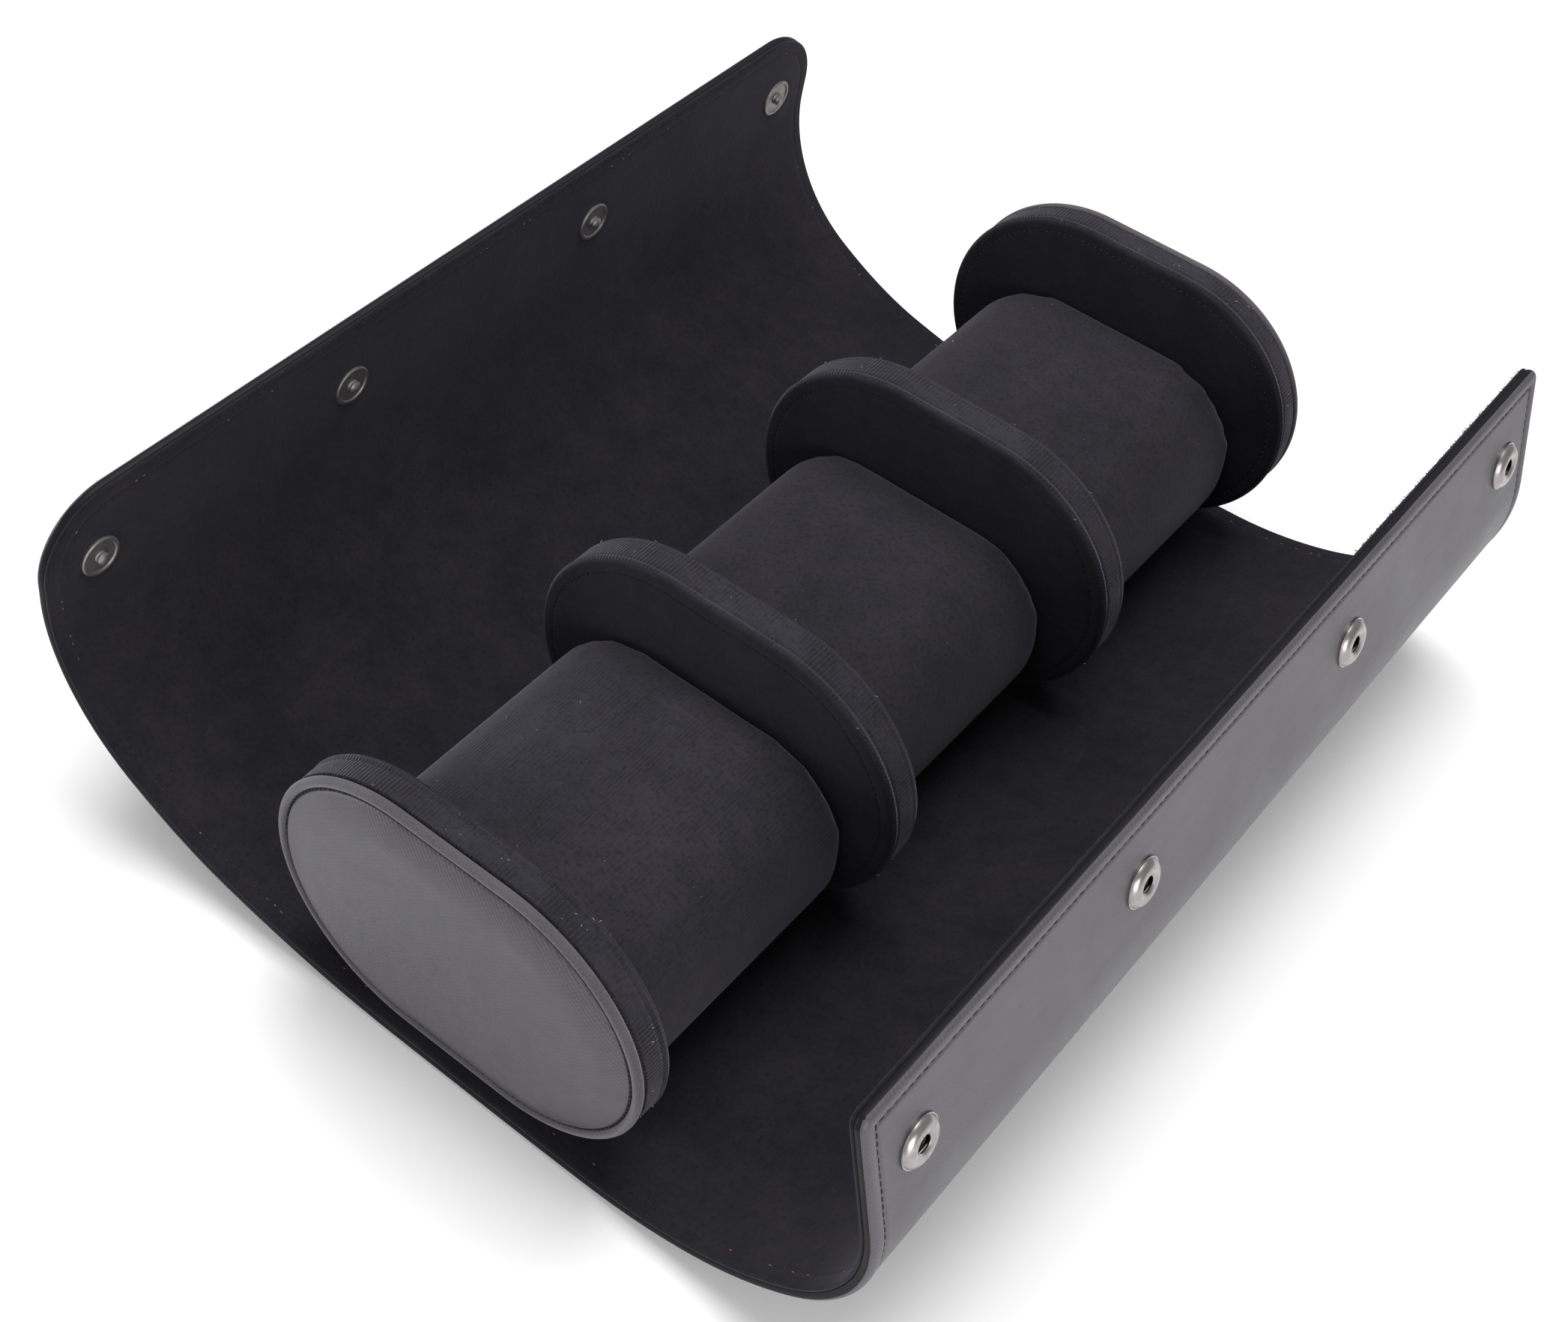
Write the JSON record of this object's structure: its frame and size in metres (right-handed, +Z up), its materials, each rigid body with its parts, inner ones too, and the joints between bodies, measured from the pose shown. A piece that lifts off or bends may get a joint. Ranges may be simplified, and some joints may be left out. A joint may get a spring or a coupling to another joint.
{
  "type": "watch roll case",
  "caption": "Soft roll case for wrist watches: a stiffened leather wrap lined in suede, round stadium-shaped discs with pillows between them, closed by a row of snaps.",
  "frame": {"origin": "middle of the flat underside of the base panel, on the surface it rests on, halfway along the roll and below the middle of the discs", "axes": "+Y along the roll, +X across it towards the square flap that carries the sockets, +Z up"},
  "size_m": [0.2352, 0.28, 0.0944],
  "materials": {
    "leather": "satin",
    "suede_lining": "matte",
    "suede_disc": "matte",
    "suede_pillow": "matte",
    "stiffener_board": "matte",
    "disc_board": "matte",
    "foam": "matte",
    "gunmetal_plated_steel": "satin",
    "spring_steel": "polished"
  },
  "bodies": {
    "core_and_base": {"base_board": "stiffener_board", "base_cover": "leather", "base_lining": "suede_lining", "divider_1_board": "disc_board", "divider_1_faces": "suede_disc", "divider_1_rim_band": "suede_disc", "divider_2_board": "disc_board", "divider_2_faces": "suede_disc", "divider_2_rim_band": "suede_disc", "front_disc_board": "disc_board", "front_disc_edge_roll": "leather", "front_disc_inner_face": "suede_disc", "front_disc_leather_face": "leather", "front_disc_pad": "foam", "front_disc_rim_band": "suede_disc", "rear_disc_board": "disc_board", "rear_disc_edge_roll": "leather", "rear_disc_inner_face": "suede_disc", "rear_disc_leather_face": "leather", "rear_disc_pad": "foam", "rear_disc_rim_band": "suede_disc"},
    "left_lower": {"left_lower_board": "stiffener_board", "left_lower_cover": "leather", "left_lower_lining": "suede_lining"},
    "left_upper": {"left_upper_board": "stiffener_board", "left_upper_cover": "leather", "left_upper_lining": "suede_lining"},
    "left_flap": {"left_flap_board": "stiffener_board", "left_flap_cover": "leather", "left_flap_lining": "suede_lining", "snap_stud_caps": "gunmetal_plated_steel", "snap_studs": "gunmetal_plated_steel"},
    "right_lower": {"right_lower_board": "stiffener_board", "right_lower_cover": "leather", "right_lower_lining": "suede_lining"},
    "right_upper": {"right_upper_board": "stiffener_board", "right_upper_cover": "leather", "right_upper_lining": "suede_lining"},
    "right_flap": {"right_flap_board": "stiffener_board", "right_flap_cover": "leather", "right_flap_lining": "suede_lining", "snap_socket_eyelets": "gunmetal_plated_steel", "snap_sockets": "gunmetal_plated_steel", "snap_springs": "spring_steel"},
    "pillow_1": {"pillow_1_core": "foam", "pillow_1_end_panels": "suede_pillow", "pillow_1_sleeve": "suede_pillow"},
    "pillow_2": {"pillow_2_core": "foam", "pillow_2_end_panels": "suede_pillow", "pillow_2_sleeve": "suede_pillow"},
    "pillow_3": {"pillow_3_core": "foam", "pillow_3_end_panels": "suede_pillow", "pillow_3_sleeve": "suede_pillow"}
  },
  "joints": [
    {"name": "left_lower_fold", "type": "hinge", "parent": "core_and_base", "child": "left_lower", "pos_m": [-0.02906, 0, 0.0018], "axis": [0, 1, 0], "range_deg": [-7, 31]},
    {"name": "left_upper_fold", "type": "hinge", "parent": "left_lower", "child": "left_upper", "pos_m": [-0.05648, 0, 0.00565], "axis": [0, 1, 0], "range_deg": [-7.35, 32.51]},
    {"name": "left_flap_fold", "type": "hinge", "parent": "left_upper", "child": "left_flap", "pos_m": [-0.08391, 0, 0.01275], "axis": [0, 1, 0], "range_deg": [-4.87, 21.51]},
    {"name": "right_lower_fold", "type": "hinge", "parent": "core_and_base", "child": "right_lower", "pos_m": [0.02906, 0, 0.0018], "axis": [0, -1, 0], "range_deg": [-2, 37]},
    {"name": "right_upper_fold", "type": "hinge", "parent": "right_lower", "child": "right_upper", "pos_m": [0.05674, 0, 0.00277], "axis": [0, -1, 0], "range_deg": [-1.25, 23.01]},
    {"name": "right_flap_fold", "type": "hinge", "parent": "right_upper", "child": "right_flap", "pos_m": [0.08368, 0, 0.01152], "axis": [0, -1, 0], "range_deg": [-0.93, 17.01]},
    {"name": "pillow_1_lift", "type": "slide", "parent": "core_and_base", "child": "pillow_1", "axis": [0, 0, 1], "range_m": [0, 0.022]},
    {"name": "pillow_2_lift", "type": "slide", "parent": "core_and_base", "child": "pillow_2", "axis": [0, 0, 1], "range_m": [0, 0.022]},
    {"name": "pillow_3_lift", "type": "slide", "parent": "core_and_base", "child": "pillow_3", "axis": [0, 0, 1], "range_m": [0, 0.022]}
  ],
  "couplings": [
    {"joint": "left_upper_fold", "follows": "left_lower_fold", "ratio": 1.0484},
    {"joint": "left_flap_fold", "follows": "left_lower_fold", "ratio": 0.69355},
    {"joint": "right_upper_fold", "follows": "right_lower_fold", "ratio": 0.62162},
    {"joint": "right_flap_fold", "follows": "right_lower_fold", "ratio": 0.45946}
  ]
}
